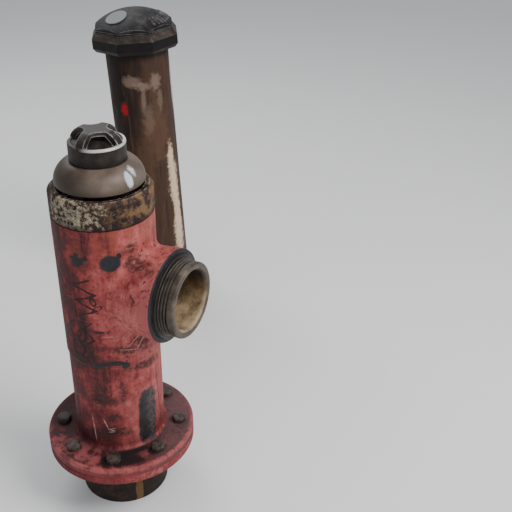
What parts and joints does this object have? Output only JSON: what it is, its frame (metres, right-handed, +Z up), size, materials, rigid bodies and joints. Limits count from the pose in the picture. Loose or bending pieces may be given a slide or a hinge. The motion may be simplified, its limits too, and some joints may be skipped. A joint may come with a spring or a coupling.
{
  "type": "street fire hydrant with guard post",
  "caption": "Dry-barrel street fire hydrant with an open pumper outlet, a security dome and spinning guard over its operating nut, and a capped steel guard post beside it.",
  "frame": {"origin": "on the hydrant's stem axis at pavement level", "axes": "+Z up along the hydrant's stem, the outlet faces -Y, the guard post stands towards +X and a little towards +Y"},
  "size_m": [1.0062, 0.6873, 0.8251],
  "materials": {
    "faded_red_paint": "faded, chipped paint",
    "painted_base": "dirty paint over rust",
    "rusty_iron": "rusted, with flakes of old cream paint",
    "grey_iron": "smooth grey-brown",
    "dark_steel": "dark, with worn bright edges",
    "bolt_iron": "dark rust",
    "aged_brass": "dull, stained",
    "gasket": "matte",
    "brown_post_paint": "worn dark paint over rust",
    "black_cast_iron": "dark, with worn edges",
    "dull_aluminium": "dull"
  },
  "bodies": {
    "hydrant_and_post": {"lower_barrel": "painted_base", "flange_gasket": "gasket", "flange_bolts": "bolt_iron", "flange_nuts": "bolt_iron", "upper_barrel": "faded_red_paint", "outlet_nozzle": "aged_brass", "nozzle_seal": "gasket", "nozzle_lock_screw": "dark_steel", "bonnet_gasket": "gasket", "bonnet": "rusty_iron", "bonnet_screws": "dark_steel", "stem_seals": "gasket", "lower_thrust_washer": "aged_brass", "upper_thrust_washer": "aged_brass", "hold_down_nut": "aged_brass", "hold_down_seal": "gasket", "security_dome": "grey_iron", "post_pipe": "brown_post_paint", "post_cap": "black_cast_iron", "post_tag": "dull_aluminium"},
    "operating_nut": {"operating_nut": "aged_brass"},
    "clutch": {"clutch_plate": "dark_steel"},
    "guard": {"spinning_guard": "dark_steel", "snap_ring": "dark_steel"},
    "stem": {"stem": "dark_steel", "lower_stem": "dark_steel", "breakaway_coupling": "dark_steel", "coupling_pins": "dark_steel"}
  },
  "joints": [
    {"name": "operating_nut_turn", "type": "hinge", "parent": "hydrant_and_post", "child": "operating_nut", "pos_m": [0, 0, 0.76], "axis": [0, 0, 1], "range_deg": [0, 3600]},
    {"name": "stem_slide", "type": "slide", "parent": "hydrant_and_post", "child": "stem", "axis": [0, 0, -1], "range_m": [0, 0.0635]},
    {"name": "guard_spin", "type": "hinge", "parent": "hydrant_and_post", "child": "guard", "pos_m": [0, 0, 0.78], "axis": [0, 0, 1], "continuous": true},
    {"name": "clutch_lift", "type": "slide", "parent": "operating_nut", "child": "clutch", "axis": [0, 0, 1], "range_m": [0, 0.008]}
  ],
  "couplings": [
    {"joint": "stem_slide", "follows": "operating_nut_turn", "m_per_rad": 0.0010106}
  ]
}
